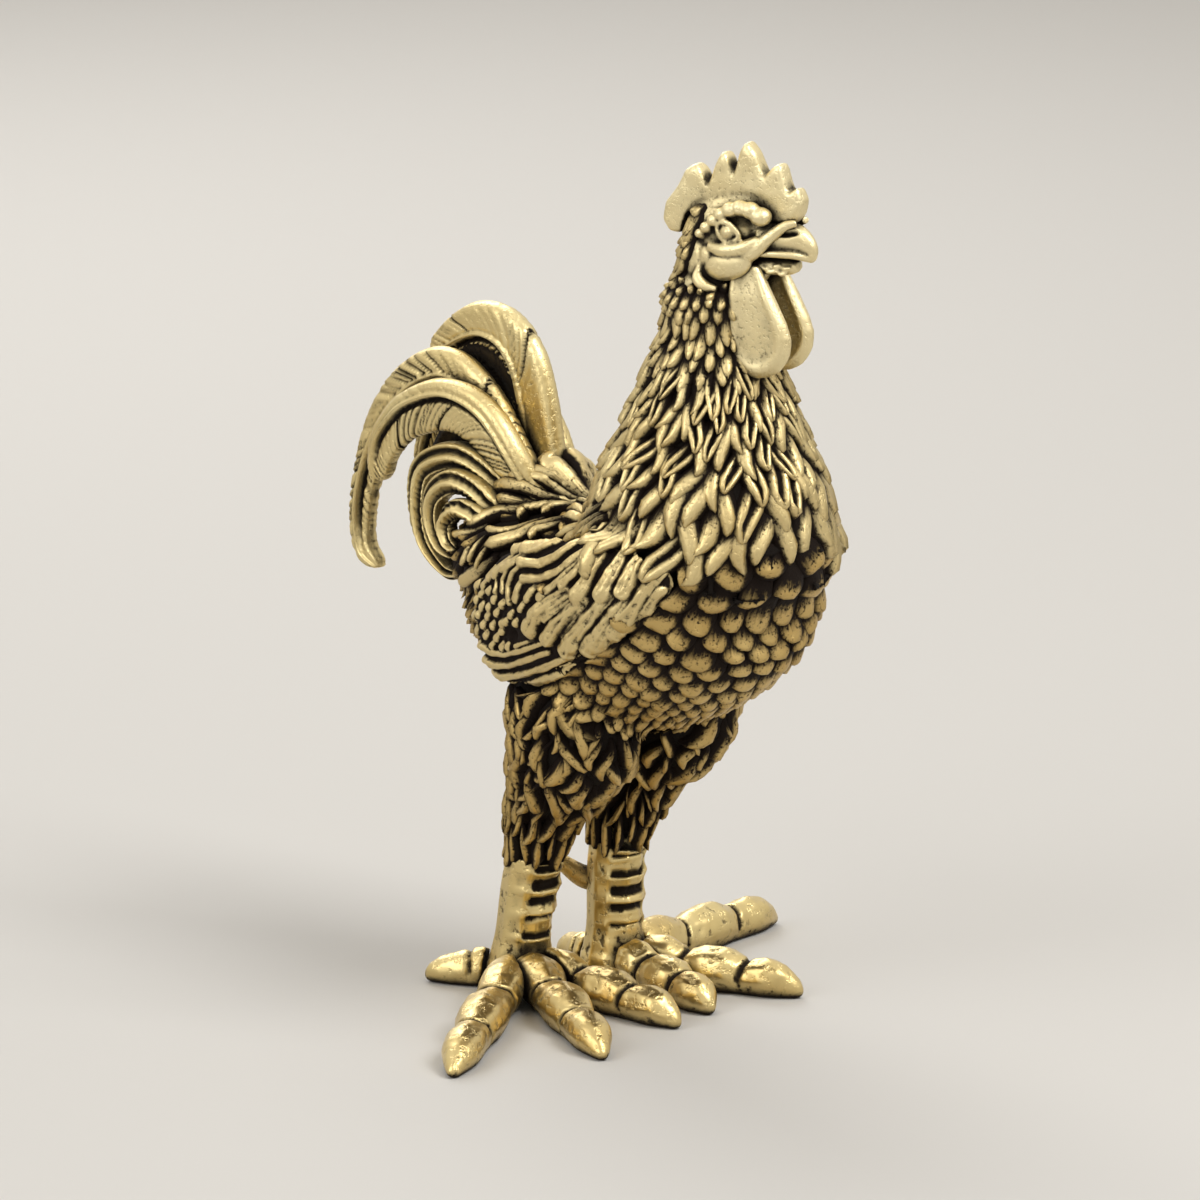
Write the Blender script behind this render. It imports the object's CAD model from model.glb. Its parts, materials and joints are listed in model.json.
import json
import math

import bmesh
import bpy
import numpy as np
from mathutils import Matrix, Vector, noise
from mathutils.bvhtree import BVHTree


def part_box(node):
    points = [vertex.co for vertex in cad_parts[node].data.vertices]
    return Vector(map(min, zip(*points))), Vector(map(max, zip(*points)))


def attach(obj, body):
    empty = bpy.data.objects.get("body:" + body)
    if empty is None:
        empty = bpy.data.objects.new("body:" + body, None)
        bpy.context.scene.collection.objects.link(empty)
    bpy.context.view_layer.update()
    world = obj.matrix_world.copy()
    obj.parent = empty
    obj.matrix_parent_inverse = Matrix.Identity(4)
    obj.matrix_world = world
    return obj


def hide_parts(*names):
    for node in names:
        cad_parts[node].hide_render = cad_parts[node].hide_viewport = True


# A small standing rooster in antiqued brass. Everything is shaped in millimetres from the point on the
# ground midway between the ankles, and goes into the frame, in metres, as the last step of each piece.
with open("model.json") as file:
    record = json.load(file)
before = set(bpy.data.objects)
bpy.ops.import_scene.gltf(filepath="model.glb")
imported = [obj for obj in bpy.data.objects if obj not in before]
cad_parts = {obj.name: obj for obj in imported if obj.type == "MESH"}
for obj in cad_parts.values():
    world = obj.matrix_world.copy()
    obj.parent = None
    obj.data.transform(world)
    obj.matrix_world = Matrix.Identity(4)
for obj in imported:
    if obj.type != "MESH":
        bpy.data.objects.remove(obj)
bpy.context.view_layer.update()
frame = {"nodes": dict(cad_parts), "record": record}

MM = 0.001
LEFT = 1
RIGHT = -1
SIDES = ((RIGHT, "right"), (LEFT, "left"))
RECORD = frame["record"]
SOLES = [Vector(mount["pos_m"]) for mount in RECORD["mounts"]]
ANKLES = (SOLES[0] + SOLES[1]) / 2
INTO_FRAME = Matrix.Translation(ANKLES) @ Matrix.Scale(MM, 4)
OUT_OF_FRAME = INTO_FRAME.inverted()

# Camera, as the photograph was taken: turned round the bird, a little above it, through a long lens.
VIEW_TURN = 47.0
VIEW_RISE = 13.8
VIEW_DISTANCE = 650.0
VIEW_WIDTH = 70.22
AIM_RIGHT = 1.872
AIM_UP = 22.35
SENSOR = 36.0


def node_box(node):
    """A node's lowest and highest corner in millimetres from the ankles."""
    low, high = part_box(node)
    return OUT_OF_FRAME @ low, OUT_OF_FRAME @ high


# Places taken from the frame
NECK_LOW, NECK_HIGH = node_box("neck_hackle")
TORSO_LOW, TORSO_HIGH = node_box("torso")
SADDLE_LOW, SADDLE_HIGH = node_box("saddle")
NECK_X = 12.03
NECK_LEAN = 0.4
HEAD_YAW = math.radians(15)
HEAD_X = 13.33
HEAD_Z = 46.54
TAIL_X = -1.71
TAIL_Z = 30.22


def head_at(ahead, left, height):
    """A point of the head: ahead along the beak, to the left, and height above the ground."""
    return Vector((
        HEAD_X + ahead * math.cos(HEAD_YAW) - left * math.sin(HEAD_YAW),
        ahead * math.sin(HEAD_YAW) + left * math.cos(HEAD_YAW),
        height,
    ))


# Colours and finishes
def channel(value):
    """One sRGB channel as a linear number."""
    return value / 12.92 if value <= 0.04045 else ((value + 0.055) / 1.055) ** 2.4


def linear(hex_colour):
    """An sRGB hex colour as a linear one with alpha."""
    channels = [int(hex_colour[i:i + 2], 16) / 255 for i in (1, 3, 5)]
    return (*[channel(value) for value in channels], 1.0)


def add(tree, kind, settings=None, links=None, values=None):
    """Adds a node with its settings, its socket values and the sockets that feed it."""
    node = tree.nodes.new(kind)
    for name, value in (settings or {}).items():
        setattr(node, name, value)
    for socket, value in (values or {}).items():
        node.inputs[socket].default_value = value
    for socket, source in (links or {}).items():
        tree.links.new(source, node.inputs[socket])
    return node


def cast_brass(name, crown, recess, roughness, pit_size, pit_depth, wear_low, wear_high, specks,
               striped=False):
    """Cast brass under a blackened patina that is rubbed back to bright metal wherever it stands proud.

    The rise attribute says how proud the skin stands, and the shelter of the grooves adds to it. Specks
    of patina stay behind in the casting's pits.
    """
    material = bpy.data.materials.new(name)
    material.use_nodes = True
    tree = material.node_tree
    tree.nodes.clear()
    place = add(tree, "ShaderNodeTexCoord").outputs["Object"]
    rise = add(tree, "ShaderNodeAttribute", {"attribute_name": "rise"}).outputs["Fac"]
    shelter = add(tree, "ShaderNodeAmbientOcclusion", {"samples": 6}, values={"Distance": 0.8 * MM})
    mottle = add(tree, "ShaderNodeTexNoise", links={"Vector": place},
                 values={"Scale": 1 / (1.3 * MM), "Detail": 5.0, "Roughness": 0.68})
    open_rise = add(tree, "ShaderNodeMath", {"operation": "MULTIPLY"},
                    {0: rise, 1: shelter.outputs["AO"]})
    uneven = add(tree, "ShaderNodeMath", {"operation": "MULTIPLY_ADD"},
                 {0: mottle.outputs["Fac"], 2: open_rise.outputs[0]}, {1: 0.4})
    if striped:
        # Frayed barbs: thin streaks that run the length of each feather.
        across = add(tree, "ShaderNodeAttribute", {"attribute_name": "across"}).outputs["Fac"]
        along = add(tree, "ShaderNodeAttribute", {"attribute_name": "along"}).outputs["Fac"]
        spread = add(tree, "ShaderNodeMath", {"operation": "MULTIPLY"}, {0: across}, {1: 3.2})
        apart = add(tree, "ShaderNodeMath", {"operation": "MULTIPLY"}, {0: mottle.outputs["Fac"]}, {1: 2.0})
        lengthways = add(tree, "ShaderNodeCombineXYZ", links={"X": spread.outputs[0], "Y": along,
                                                              "Z": apart.outputs[0]})
        streak = add(tree, "ShaderNodeTexNoise", links={"Vector": lengthways.outputs["Vector"]},
                     values={"Scale": 1.3, "Detail": 2.0})
        frayed = add(tree, "ShaderNodeMath", {"operation": "MULTIPLY_ADD"},
                     {0: streak.outputs["Fac"], 2: uneven.outputs[0]}, {1: 0.5})
        uneven = add(tree, "ShaderNodeMath", {"operation": "SUBTRACT"}, {0: frayed.outputs[0]}, {1: 0.25})
    grain = add(tree, "ShaderNodeTexNoise", links={"Vector": place},
                values={"Scale": 1 / (pit_size * MM), "Detail": 3.0, "Roughness": 0.6})
    pits = add(tree, "ShaderNodeMapRange", links={"Value": grain.outputs["Fac"]},
               values={"From Min": 0.34, "From Max": 0.46})
    pitted = add(tree, "ShaderNodeMath", {"operation": "MULTIPLY_ADD"},
                 {0: pits.outputs["Result"], 2: uneven.outputs[0]}, {1: specks})
    rubbed = add(tree, "ShaderNodeMapRange", {"interpolation_type": "SMOOTHSTEP"},
                 {"Value": pitted.outputs[0]},
                 {"From Min": wear_low + specks, "From Max": wear_high + specks})
    tone = add(tree, "ShaderNodeTexNoise", links={"Vector": place},
               values={"Scale": 1 / (4.5 * MM), "Detail": 2.0})
    bright = add(tree, "ShaderNodeMix", {"data_type": "RGBA"}, {"Factor": tone.outputs["Fac"]},
                 {"A": linear(crown[0]), "B": linear(crown[1])})
    colour = add(tree, "ShaderNodeMix", {"data_type": "RGBA"},
                 {"Factor": rubbed.outputs["Result"], "B": bright.outputs["Result"]},
                 {"A": linear(recess)})
    metal = add(tree, "ShaderNodeMapRange", links={"Value": rubbed.outputs["Result"]},
                values={"To Min": 0.1, "To Max": 1.0})
    dull = add(tree, "ShaderNodeMapRange", links={"Value": rubbed.outputs["Result"]},
               values={"To Min": 0.75, "To Max": roughness})
    scuff = add(tree, "ShaderNodeMath", {"operation": "MULTIPLY_ADD"},
                {0: mottle.outputs["Fac"], 2: dull.outputs["Result"]}, {1: 0.08})
    height = pits.outputs["Result"]
    if striped:
        ribbed = add(tree, "ShaderNodeMath", {"operation": "MULTIPLY_ADD"},
                     {0: streak.outputs["Fac"], 2: height}, {1: 1.4})
        height = ribbed.outputs[0]
    bump = add(tree, "ShaderNodeBump", links={"Height": height},
               values={"Strength": 0.6, "Distance": pit_depth * MM})
    surface = add(tree, "ShaderNodeBsdfPrincipled",
                  links={"Base Color": colour.outputs["Result"], "Metallic": metal.outputs["Result"],
                         "Roughness": scuff.outputs[0], "Normal": bump.outputs["Normal"]},
                  values={"Specular IOR Level": 0.2})
    output = add(tree, "ShaderNodeOutputMaterial")
    tree.links.new(surface.outputs["BSDF"], output.inputs["Surface"])
    return material


# Sand-cast brass, blackened and rubbed back: pale crowns, near black grooves.
FEATHER_BRASS = cast_brass("antiqued_cast_brass", ("#E8D6A2", "#C6AC72"), "#170D06", 0.33,
                           0.2, 0.03, 0.5, 0.86, 0.16, striped=True)
# The breast and thighs, less handled: the bright metal shows in broken patches.
BREAST_BRASS = cast_brass("shaded_cast_brass", ("#DDC385", "#AE8D4D"), "#170D06", 0.36,
                          0.2, 0.03, 0.62, 1.0, 0.24, striped=True)
# The tail's thinner blades, handled more and rubbed further down between the barbs.
TAIL_BRASS = cast_brass("rubbed_tail_brass", ("#ECDCA8", "#CFB577"), "#181108", 0.33,
                        0.24, 0.03, 0.54, 1.0, 0.12)
# The same casting below the feathers, where the blackening was never rubbed off.
GROUND_BRASS = cast_brass("blackened_cast_brass", ("#6B5A38", "#4A3C24"), "#120B05", 0.5,
                          0.2, 0.03, 1.0, 1.6, 0.1)
# Bare cast skin with a fine sandy grain, rubbed pale.
SKIN_BRASS = cast_brass("rubbed_cast_brass", ("#F7EABF", "#E0CC97"), "#1A130A", 0.36,
                        0.2, 0.03, 0.56, 0.96, 0.1)
# Handled brass on the feet, polished smooth and a little deeper in colour.
FOOT_BRASS = cast_brass("polished_cast_brass", ("#E9D79E", "#BE9F5E"), "#1E150A", 0.27,
                        0.45, 0.045, 0.62, 1.0, 0.22)


# Meshes
def mesh_object(name, vertices, faces, attributes=None, smooth=True):
    """A mesh object from points and faces, with point attributes as plain floats or vectors."""
    mesh = bpy.data.meshes.new(name)
    mesh.from_pydata([tuple(point) for point in vertices], [], [tuple(face) for face in faces])
    for label, values in (attributes or {}).items():
        values = np.asarray(values, float)
        if values.ndim == 2:
            layer = mesh.attributes.new(label, "FLOAT_VECTOR", "POINT")
            layer.data.foreach_set("vector", values.ravel())
        else:
            layer = mesh.attributes.new(label, "FLOAT", "POINT")
            layer.data.foreach_set("value", values)
    if smooth and len(mesh.polygons):
        mesh.polygons.foreach_set("use_smooth", [True] * len(mesh.polygons))
    mesh.update()
    made = bpy.data.objects.new(name, mesh)
    bpy.context.scene.collection.objects.link(made)
    return made


def points_of(made):
    """An object's points as an array."""
    places = np.zeros(len(made.data.vertices) * 3)
    made.data.vertices.foreach_get("co", places)
    return places.reshape(-1, 3)


def normals_of(made):
    """An object's point normals as an array."""
    directions = np.zeros(len(made.data.vertices) * 3)
    made.data.vertices.foreach_get("normal", directions)
    return directions.reshape(-1, 3)


def move_points(made, places):
    """Gives an object's points new places."""
    made.data.vertices.foreach_set("co", np.asarray(places, float).ravel())
    made.data.update()


def set_value(made, label, values):
    """Stores one number for each point."""
    layer = made.data.attributes.get(label) or made.data.attributes.new(label, "FLOAT", "POINT")
    layer.data.foreach_set("value", np.asarray(values, float))


def set_vector(made, label, values):
    """Stores one vector for each point."""
    layer = made.data.attributes.new(label, "FLOAT_VECTOR", "POINT")
    layer.data.foreach_set("vector", np.asarray(values, float).ravel())


def set_relief(made, passes, gain, covered=1.0):
    """Stores how proud each point stands of its smoothed surroundings, for the patina."""
    places, facings = points_of(made), normals_of(made)
    ends = np.zeros(len(made.data.edges) * 2, np.int64)
    made.data.edges.foreach_get("vertices", ends)
    ends = ends.reshape(-1, 2)
    counts = np.bincount(ends.ravel(), minlength=len(places))[:, None]
    smooth = places
    for _ in range(passes):
        total = np.zeros_like(smooth)
        for axis in range(3):
            total[:, axis] = (np.bincount(ends[:, 0], smooth[ends[:, 1], axis], len(places))
                              + np.bincount(ends[:, 1], smooth[ends[:, 0], axis], len(places)))
        smooth = total / np.maximum(counts, 1)
    proud = ((places - smooth) * facings).sum(axis=1)
    set_value(made, "rise", np.clip(0.72 + gain * proud, 0, 1) * covered)


def settled(made, name):
    """The object with its modifiers worked into a plain mesh. The first object goes."""
    depsgraph = bpy.context.evaluated_depsgraph_get()
    mesh = bpy.data.meshes.new_from_object(made.evaluated_get(depsgraph))
    mesh.name = name
    bpy.data.objects.remove(made)
    plain = bpy.data.objects.new(name, mesh)
    bpy.context.scene.collection.objects.link(plain)
    return plain


def remeshed(made, name, voxel, passes, factor=0.5):
    """One smooth skin round whatever the object holds."""
    remesh = made.modifiers.new("skin", "REMESH")
    remesh.mode = "VOXEL"
    remesh.voxel_size = voxel
    remesh.use_smooth_shade = True
    soften = made.modifiers.new("soften", "SMOOTH")
    soften.iterations = passes
    soften.factor = factor
    return settled(made, name)


def casting(nodes, name, voxel, passes):
    """The solids of some nodes as one smooth skin."""
    bm = bmesh.new()
    for node in nodes:
        bm.from_mesh(frame["nodes"][node].data)
    bmesh.ops.transform(bm, matrix=OUT_OF_FRAME, verts=bm.verts)
    bmesh.ops.remove_doubles(bm, verts=bm.verts, dist=0.002)
    mesh = bpy.data.meshes.new(name)
    bm.to_mesh(mesh)
    bm.free()
    rough = bpy.data.objects.new(name + "_rough", mesh)
    bpy.context.scene.collection.objects.link(rough)
    return remeshed(rough, name, voxel, passes)


def sunk(made, depth):
    """Draws a skin in below its feathers, so that their tips stand where the solid's do."""
    move_points(made, points_of(made) - depth * normals_of(made))
    return made


def kept(made, material=None, replaced=()):
    """Puts a finished piece into the frame, on the one body that the figure has."""
    if material is not None:
        made.data.materials.clear()
        made.data.materials.append(material)
    made.data.transform(INTO_FRAME)
    made.data.update()
    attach(made, "root")
    if replaced:
        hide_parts(*replaced)
    return made


def smoothstep(low, high, values):
    """0 below low, 1 above high and a smooth climb between."""
    share = np.clip((np.asarray(values, float) - low) / (high - low), 0, 1)
    return share * share * (3 - 2 * share)


def bell(values, centre, width):
    """1 at the centre, falling off smoothly over the width."""
    return np.exp(-(((np.asarray(values, float) - centre) / width) ** 2))


def spline(points, count):
    """A smooth curve through points, as count points evenly spaced along it."""
    points = np.asarray(points, float)
    ends = np.vstack([2 * points[0] - points[1], points, 2 * points[-1] - points[-2]])
    dense = []
    for i in range(1, len(ends) - 2):
        a, b, c, d = ends[i - 1:i + 3]
        for t in np.linspace(0, 1, 24, endpoint=False):
            dense.append(0.5 * (2 * b + (c - a) * t + (2 * a - 5 * b + 4 * c - d) * t * t
                                + (3 * b - a - 3 * c + d) * t ** 3))
    dense = np.vstack([dense, points[-1]])
    lengths = np.r_[0, np.cumsum(np.linalg.norm(np.diff(dense, axis=0), axis=1))]
    wanted = np.linspace(0, lengths[-1], count)
    return np.column_stack([np.interp(wanted, lengths, dense[:, k]) for k in range(points.shape[1])])


def unit(vectors):
    """Vectors made one long."""
    vectors = np.asarray(vectors, float)
    return vectors / np.maximum(np.linalg.norm(vectors, axis=-1, keepdims=True), 1e-9)


def ring_faces(rings, around):
    """Quads between rings of points, closed at both ends."""
    faces = []
    for ring in range(rings - 1):
        for point in range(around):
            after = (point + 1) % around
            a, b = ring * around + point, ring * around + after
            faces.append((a, b, b + around, a + around))
    faces.append(tuple(reversed(range(around))))
    faces.append(tuple((rings - 1) * around + point for point in range(around)))
    return faces


def outward(made):
    """Turns every face of a closed mesh outward."""
    bm = bmesh.new()
    bm.from_mesh(made.data)
    bmesh.ops.recalc_face_normals(bm, faces=bm.faces)
    bm.to_mesh(made.data)
    bm.free()
    return made


def tube(name, line, sizes, across=(0, 1, 0), around=12):
    """A closed rounded form along a line. Sizes are half across and half rise at each given point."""
    count = max(12, 6 * len(line))
    path = spline(np.column_stack([np.asarray(line, float), np.asarray(sizes, float)]), count)
    centres, halves = path[:, :3], np.maximum(path[:, 3:], 0.02)
    along = unit(np.gradient(centres, axis=0))
    side = np.asarray(across, float) - along * (along @ np.asarray(across, float))[:, None]
    side = unit(side)
    rise = np.cross(along, side)
    turns = np.linspace(0, 2 * math.pi, around, endpoint=False)
    rings = [
        centres[i] + np.outer(np.cos(turns) * halves[i, 0], side[i]) + np.outer(np.sin(turns) * halves[i, 1], rise[i])
        for i in range(count)
    ]
    return outward(mesh_object(name, np.vstack(rings), ring_faces(count, around)))


def ball(name, centre, halves, turn=0.0, tilt=0.0):
    """An ellipsoid. Tilt tips its front up, then turn swings it round."""
    bm = bmesh.new()
    bmesh.ops.create_icosphere(bm, subdivisions=3, radius=1.0)
    place = (Matrix.Translation(centre) @ Matrix.Rotation(turn, 4, "Z")
             @ Matrix.Rotation(-tilt, 4, "Y") @ Matrix.Diagonal((*halves, 1)))
    bmesh.ops.transform(bm, matrix=place, verts=bm.verts)
    mesh = bpy.data.meshes.new(name)
    bm.to_mesh(mesh)
    bm.free()
    made = bpy.data.objects.new(name, mesh)
    bpy.context.scene.collection.objects.link(made)
    return made


def joined(parts, name):
    """Several mesh objects as one."""
    bm = bmesh.new()
    for part in parts:
        bm.from_mesh(part.data)
        bpy.data.objects.remove(part)
    mesh = bpy.data.meshes.new(name)
    bm.to_mesh(mesh)
    bm.free()
    made = bpy.data.objects.new(name, mesh)
    bpy.context.scene.collection.objects.link(made)
    return made


# The ground that feathers lie on
FEATHERED = ["torso", "neck_hackle", "saddle", "wing_right", "wing_left", "thigh_right", "thigh_left"]
SINK = 0.3
SHANK_LEAN = {RIGHT: 1.5, LEFT: 0.3}
solid = [casting(FEATHERED, "ground_rough", 0.3, 0)]
for side in (RIGHT, LEFT):
    knee = side * 1.1 + SHANK_LEAN[side]
    solid.append(tube("leg_core", [(knee, side * 2.75, 9.2), (knee + 0.5, side * 2.8, 11.0), (knee + 1.0, side * 2.9, 13.0)],
                      [(1.5, 1.25), (1.7, 1.6), (1.6, 1.6)]))
ground = sunk(remeshed(joined(solid, "ground_rough"), "ground", 0.3, 14), SINK)
set_vector(ground, "outward", normals_of(ground))
FAR = 60.0


def tree_in(made):
    """An object's faces, for finding places on them."""
    return BVHTree.FromPolygons(
        [vertex.co for vertex in made.data.vertices],
        [tuple(face.vertices) for face in made.data.polygons],
    )


def tree_of(node):
    """The faces of one node's smooth skin."""
    skin = sunk(casting([node], node + "_places", 0.3, 14), SINK)
    tree = tree_in(skin)
    bpy.data.objects.remove(skin)
    return tree


GROUND_TREE = tree_in(ground)


def landed(origin, direction, tree=GROUND_TREE):
    """Where a straight line from far off along the direction first meets the skin, and how it faces."""
    heading = Vector(direction).normalized()
    place, normal, _, _ = tree.ray_cast(Vector(origin) + heading * FAR, -heading, 2 * FAR)
    return place, normal


# Feather shapes: one long and one wide, rooted behind the middle, with the tip in front. Each is a
# closed leaf whose points carry how proud they stand. It climbs from its root to a blunt tip, which
# hides the next feather's root and throws it into shadow.
SHARES = (0, 0.25, 0.5, 0.7, 0.85, 0.95, 1)
POINTED = (0.35, 0.72, 0.95, 1, 0.8, 0.46, 0.14)
ROUNDED = (0.5, 0.82, 0.98, 1, 0.9, 0.64, 0.3)
SLENDER = (0.3, 0.62, 0.9, 1, 0.95, 0.7, 0.3)
PETAL = (0.5, 0.92, 1.04, 0.96, 0.7, 0.4, 0.1)
CLIMB = (0.04, 0.3, 0.55, 0.76, 0.92, 1, 0.8)
STROKE_CLIMB = (0.1, 0.6, 0.9, 1, 1, 0.85, 0.5)
PETAL_CLIMB = (0.05, 0.5, 0.78, 0.92, 1, 1, 0.7)


def feather(name, halves, climb, profile, curl=0.0, sway=0.0):
    """A feather from its half breadths and rises along it, and the profile (place, rise) across it."""
    points = []
    rises = []
    sideways = []
    lengthways = []
    for share, half, height in zip(SHARES, halves, climb):
        bend = curl * share * share + sway * math.sin(2 * math.pi * share) / 2
        closing = min(1.0, max(0.0, (share - 0.72) / 0.25))
        loop = [(-1, -0.35)]
        for a, level in profile:
            level += (1 - level) * closing if abs(a) < 0.3 else 0
            loop.append((a, height * level))
        for a, level in loop + [(1, -0.35)]:
            points.append((a * half / 2 + bend, share - 0.35, level))
            rises.append(level)
            sideways.append(a)
            lengthways.append(share)
    made = mesh_object(name, points, ring_faces(len(SHARES), len(profile) + 2),
                       {"rise": rises, "across": sideways, "along": lengthways})
    outward(made)
    bpy.context.scene.collection.objects.unlink(made)
    return made


RIDGE = ((-1, 0.1), (-0.5, 0.78), (0, 1), (0.5, 0.78), (1, 0.1))
CREST = ((-1, 0.1), (-0.6, 0.78), (-0.16, 1), (0.4, 0.76), (1, 0.1))
PAIR = ((-1, 0.15), (-0.72, 0.86), (-0.44, 1), (-0.16, 0.72), (0, 0.2), (0.16, 0.72), (0.44, 1), (0.72, 0.86),
        (1, 0.15))
PLATE = ((-1, 0.6), (-0.62, 0.93), (-0.2, 1), (0.2, 1), (0.62, 0.93), (1, 0.6))
DOME = ((-1, 0.45), (-0.62, 0.9), (-0.2, 1), (0.2, 1), (0.62, 0.9), (1, 0.45))


def collection_of(name, feathers):
    """The shapes that one coat picks from."""
    group = bpy.data.collections.new(name)
    for shape in feathers:
        group.objects.link(shape)
    return group


def coat_tree():
    """Feathers set on roots, turned along their flow, and laid onto the skin below them."""
    tree = bpy.data.node_groups.new("feather_coat", "GeometryNodeTree")
    sockets = tree.interface
    sockets.new_socket("Coat", in_out="OUTPUT", socket_type="NodeSocketGeometry")
    sockets.new_socket("Roots", in_out="INPUT", socket_type="NodeSocketGeometry")
    sockets.new_socket("Shapes", in_out="INPUT", socket_type="NodeSocketCollection")
    sockets.new_socket("Skin", in_out="INPUT", socket_type="NodeSocketObject")
    sockets.new_socket("Relief", in_out="INPUT", socket_type="NodeSocketFloat")
    sockets.new_socket("Turn", in_out="INPUT", socket_type="NodeSocketFloat")
    sockets.new_socket("Unevenness", in_out="INPUT", socket_type="NodeSocketFloat")
    sockets.new_socket("Seed", in_out="INPUT", socket_type="NodeSocketInt")
    sockets.new_socket("Finish", in_out="INPUT", socket_type="NodeSocketMaterial")
    given = add(tree, "NodeGroupInput").outputs

    lift, flow, facing_read, girth, reach, swell, rise = [
        add(tree, "GeometryNodeInputNamedAttribute", {"data_type": kind}, values={"Name": label}).outputs["Attribute"]
        for label, kind in (("lift", "FLOAT_VECTOR"), ("flow", "FLOAT_VECTOR"), ("outward", "FLOAT_VECTOR"),
                            ("girth", "FLOAT"), ("reach", "FLOAT"), ("swell", "FLOAT"), ("rise", "FLOAT"))]
    least_turn = add(tree, "ShaderNodeMath", {"operation": "MULTIPLY"}, {0: given["Turn"]}, {1: -1.0})
    least_size = add(tree, "ShaderNodeMath", {"operation": "SUBTRACT"}, {1: given["Unevenness"]}, {0: 1.0})
    most_size = add(tree, "ShaderNodeMath", {"operation": "ADD"}, {1: given["Unevenness"]}, {0: 1.0})
    size_seed = add(tree, "ShaderNodeMath", {"operation": "ADD"}, {0: given["Seed"]}, {1: 7.0})
    shape_seed = add(tree, "ShaderNodeMath", {"operation": "ADD"}, {0: given["Seed"]}, {1: 3.0})
    facing = add(tree, "FunctionNodeAlignRotationToVector", {"axis": "Z"},
                 {"Vector": lift})
    flowing = add(tree, "FunctionNodeAlignRotationToVector", {"axis": "Y", "pivot_axis": "Z"},
                  {"Rotation": facing.outputs["Rotation"], "Vector": flow})
    swing = add(tree, "FunctionNodeRandomValue", {"data_type": "FLOAT"},
                {"Max": given["Turn"], "Min": least_turn.outputs[0],
                 "Seed": given["Seed"]})
    swung = add(tree, "FunctionNodeAxisAngleToRotation", links={"Angle": swing.outputs["Value"]},
                values={"Axis": (0, 0, 1)})
    turned = add(tree, "FunctionNodeRotateRotation", {"rotation_space": "LOCAL"},
                 {"Rotation": flowing.outputs["Rotation"], "Rotate By": swung.outputs["Rotation"]})
    uneven = add(tree, "FunctionNodeRandomValue", {"data_type": "FLOAT"},
                 {"Min": least_size.outputs[0], "Max": most_size.outputs[0], "Seed": size_seed.outputs[0]})
    size = uneven.outputs["Value"]
    broad = add(tree, "ShaderNodeMath", {"operation": "MULTIPLY"}, {0: girth, 1: size})
    long = add(tree, "ShaderNodeMath", {"operation": "MULTIPLY"}, {0: reach, 1: size})
    stretch = add(tree, "ShaderNodeCombineXYZ", links={"X": broad.outputs[0], "Y": long.outputs[0]},
                  values={"Z": 1.0})
    choice = add(tree, "FunctionNodeRandomValue", {"data_type": "INT"},
                 {"Seed": shape_seed.outputs[0]}, {"Min": 0, "Max": 2})
    shapes = add(tree, "GeometryNodeCollectionInfo", links={"Collection": given["Shapes"]},
                 values={"Separate Children": True, "Reset Children": True})
    placed = add(tree, "GeometryNodeInstanceOnPoints",
                 links={"Points": given["Roots"], "Instance": shapes.outputs["Instances"],
                        "Instance Index": choice.outputs["Value"], "Rotation": turned.outputs["Rotation"],
                        "Scale": stretch.outputs["Vector"]},
                 values={"Pick Instance": True})
    real = add(tree, "GeometryNodeRealizeInstances", links={"Geometry": placed.outputs["Instances"]})
    skin = add(tree, "GeometryNodeObjectInfo", links={"Object": given["Skin"]})
    here = add(tree, "GeometryNodeInputPosition").outputs["Position"]
    nearest = add(tree, "GeometryNodeProximity", {"target_element": "FACES"},
                  {"Geometry": skin.outputs["Geometry"], "Sample Position": here})
    facing_out = add(tree, "GeometryNodeSampleNearestSurface", {"data_type": "FLOAT_VECTOR"},
                     {"Mesh": skin.outputs["Geometry"], "Value": facing_read,
                      "Sample Position": here})
    relief = add(tree, "ShaderNodeMath", {"operation": "MULTIPLY"}, {0: swell, 1: given["Relief"]})
    height = add(tree, "ShaderNodeMath", {"operation": "MULTIPLY"}, {0: rise, 1: relief.outputs[0]})
    raised = add(tree, "ShaderNodeVectorMath", {"operation": "SCALE"},
                 {0: facing_out.outputs["Value"], "Scale": height.outputs[0]})
    laid = add(tree, "ShaderNodeVectorMath", {"operation": "ADD"},
               {0: nearest.outputs["Position"], 1: raised.outputs["Vector"]})
    moved = add(tree, "GeometryNodeSetPosition",
                links={"Geometry": real.outputs["Geometry"], "Position": laid.outputs["Vector"]})
    finished = add(tree, "GeometryNodeSetMaterial",
                   links={"Geometry": moved.outputs["Geometry"], "Material": given["Finish"]})
    output = add(tree, "NodeGroupOutput")
    tree.links.new(finished.outputs["Geometry"], output.inputs["Coat"])
    return tree


LEAVES = collection_of("leaves", [
    feather(f"leaf_{i}", POINTED, CLIMB, RIDGE, curl) for i, curl in enumerate((-0.12, 0.0, 0.14))])
PETALS = {
    turned: collection_of(f"petals_{label}", [
        feather(f"petal_{label}_{i}", PETAL, PETAL_CLIMB, profile, turned * curl, turned * sway)
        for i, (profile, curl, sway) in enumerate(((PAIR, 0.4, -0.2), (CREST, 0.6, 0.2), (CREST, 0.36, -0.24)))])
    for turned, label in ((1, "one"), (-1, "other"))
}
SCALES = collection_of("scales", [
    feather(f"scale_{i}", ROUNDED, CLIMB, PLATE, curl) for i, curl in enumerate((-0.08, 0.0, 0.09))])
FLAMES = collection_of("flames", [
    feather(f"flame_{i}", SLENDER, STROKE_CLIMB, RIDGE, curl, sway)
    for i, (curl, sway) in enumerate(((-1.1, 0.3), (-0.3, -0.5), (0.9, 0.4)))])
RIBS = collection_of("ribs", [
    feather(f"rib_{i}", SLENDER, STROKE_CLIMB, RIDGE, curl) for i, curl in enumerate((-0.08, 0.0, 0.08))])


COAT = coat_tree()


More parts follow.
